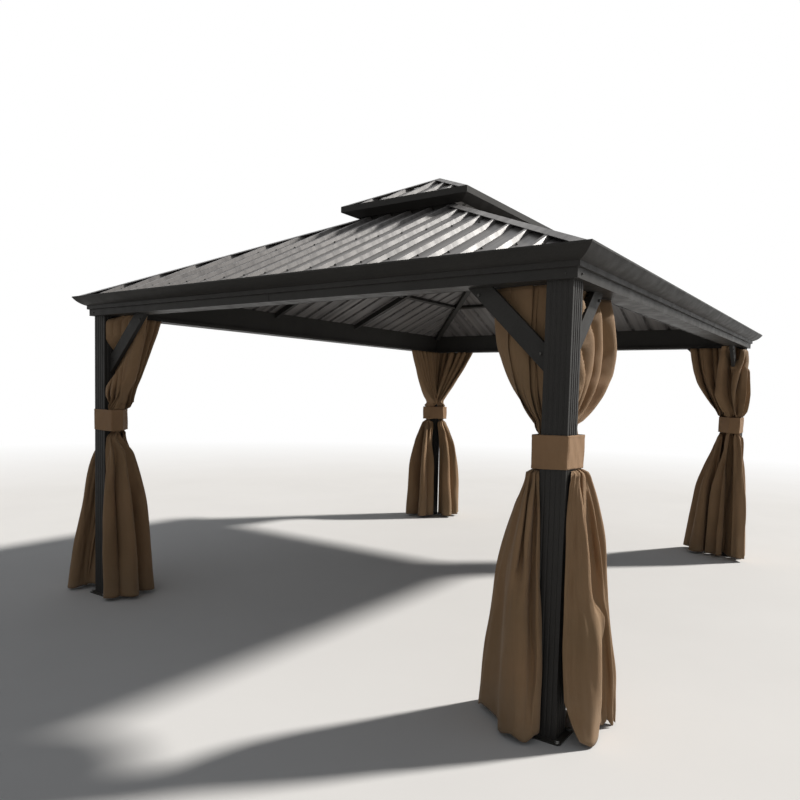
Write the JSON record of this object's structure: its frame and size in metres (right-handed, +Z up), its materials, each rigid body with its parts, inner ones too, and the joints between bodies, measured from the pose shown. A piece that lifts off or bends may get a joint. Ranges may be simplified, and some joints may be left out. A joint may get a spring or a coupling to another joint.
{
  "type": "metal gazebo",
  "caption": "Open rectangular metal gazebo: posts, beams, knee braces, ribbed hip roof with a raised vented upper roof, and tied-back curtains.",
  "frame": {"origin": "centre of the footprint at ground level, where the base plates stand", "axes": "+Z up, +X along the long side, +Y along the short side"},
  "size_m": [5.06, 4.0003, 3.1962],
  "materials": {
    "frame_metal": "dark satin powder coat",
    "roof_metal": "satin coated steel sheet",
    "curtain_cloth": "plain woven cloth",
    "tie_cloth": "plain woven cloth"
  },
  "bodies": {
    "root": {"beam_back": "frame_metal", "beam_front": "frame_metal", "beam_left": "frame_metal", "beam_right": "frame_metal", "cornice_back": "frame_metal", "cornice_front": "frame_metal", "cornice_left": "frame_metal", "cornice_right": "frame_metal", "curtain_back_left_long_side": "curtain_cloth", "curtain_back_left_short_side": "curtain_cloth", "curtain_back_right_long_side": "curtain_cloth", "curtain_back_right_short_side": "curtain_cloth", "curtain_front_left_long_side": "curtain_cloth", "curtain_front_left_short_side": "curtain_cloth", "curtain_front_right_long_side": "curtain_cloth", "curtain_front_right_short_side": "curtain_cloth", "hip_caps": "roof_metal", "hip_rafters": "frame_metal", "knee_braces_back_left": "frame_metal", "knee_braces_back_right": "frame_metal", "knee_braces_front_left": "frame_metal", "knee_braces_front_right": "frame_metal", "post_back_left": "frame_metal", "post_back_right": "frame_metal", "post_front_left": "frame_metal", "post_front_right": "frame_metal", "purlins": "frame_metal", "rafters": "frame_metal", "ridge_cap": "roof_metal", "roof_panel_back": "roof_metal", "roof_panel_front": "roof_metal", "roof_panel_left": "roof_metal", "roof_panel_right": "roof_metal", "tie_band_back_left": "tie_cloth", "tie_band_back_right": "tie_cloth", "tie_band_front_left": "tie_cloth", "tie_band_front_right": "tie_cloth", "upper_eave": "frame_metal", "upper_frame": "frame_metal", "upper_hip_caps": "roof_metal", "upper_ring": "frame_metal", "upper_roof_panels": "roof_metal"}
  },
  "joints": []
}
